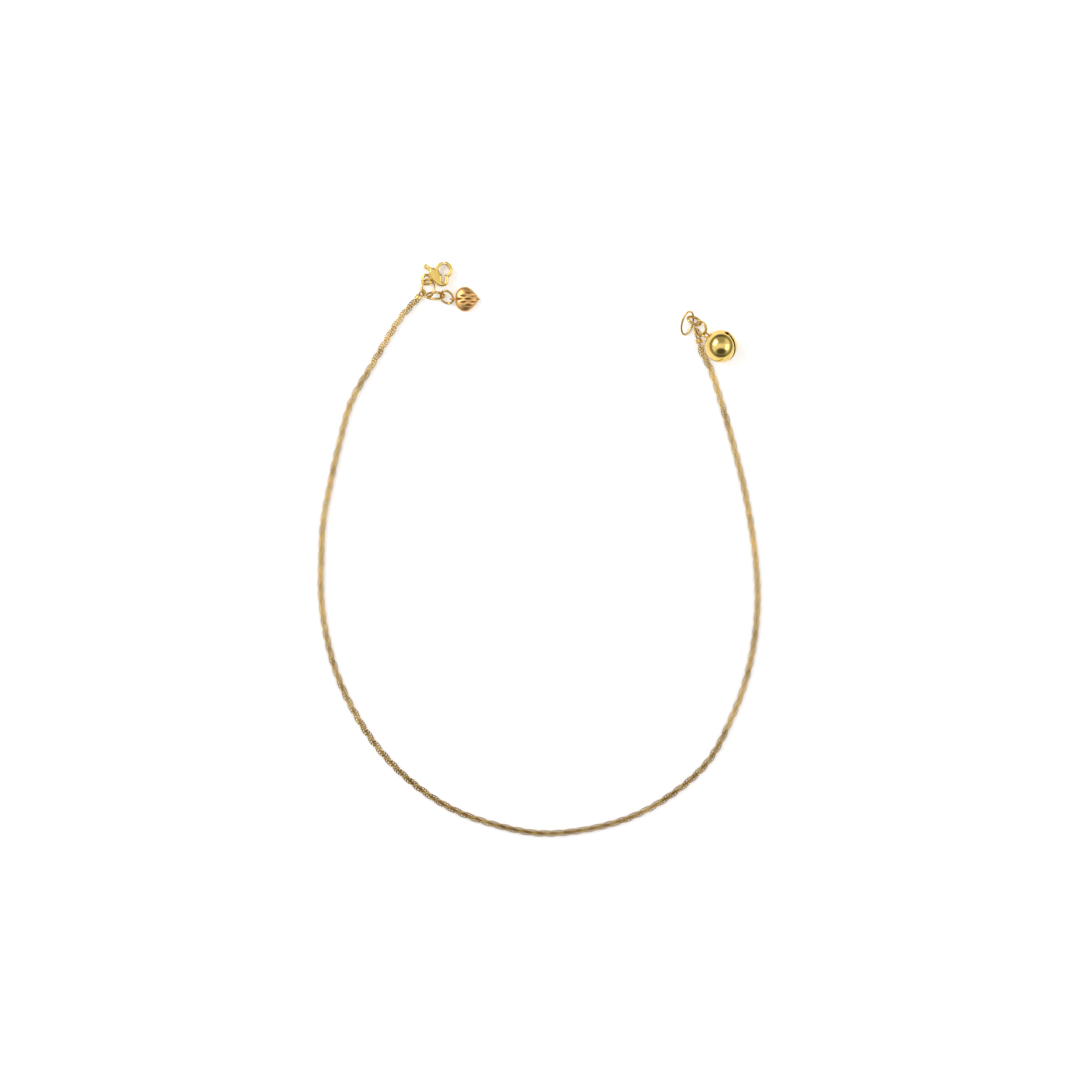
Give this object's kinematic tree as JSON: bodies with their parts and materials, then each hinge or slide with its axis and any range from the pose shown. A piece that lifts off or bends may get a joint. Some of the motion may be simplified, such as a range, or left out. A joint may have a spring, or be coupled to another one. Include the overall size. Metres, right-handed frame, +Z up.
{
  "type": "rope chain anklet with a jingle bell and a heart charm",
  "caption": "Fine gold rope chain anklet lying open, with a lobster clasp and a heart charm at one end and a round jingle bell at the other.",
  "frame": {"origin": "middle of the foot of the whole anklet's box, on the surface that it lies on", "axes": "+Y from the bottom of the chain's loop towards its two open ends, +X from the clasp's end towards the bell's end, +Z up from the surface"},
  "size_m": [0.0888, 0.115, 0.0066],
  "materials": {
    "chain_gold": "satin yellow gold, darker in the twist",
    "polished_gold": "polished yellow gold",
    "rose_gold": "polished orange gold with bright diamond cuts"
  },
  "bodies": {
    "anklet": {"rope_chain": "chain_gold", "left_chain_end": "chain_gold", "right_chain_end": "chain_gold", "clasp_body": "polished_gold", "clasp_jump_ring": "polished_gold", "charm_link": "polished_gold", "heart_ring": "polished_gold", "heart_charm": "rose_gold", "end_ring": "polished_gold", "tag_link": "polished_gold", "bell_bail": "polished_gold", "bell": "polished_gold", "bell_clapper": "chain_gold"},
    "lever": {"clasp_lever": "polished_gold"}
  },
  "joints": [
    {"name": "lever_pivot", "type": "hinge", "parent": "anklet", "child": "lever", "pos_m": [-0.02111, 0.05542, 0.00102], "axis": [0, 0, -1], "range_deg": [0, 28], "stiffness_Nm_per_rad": 0.001}
  ]
}
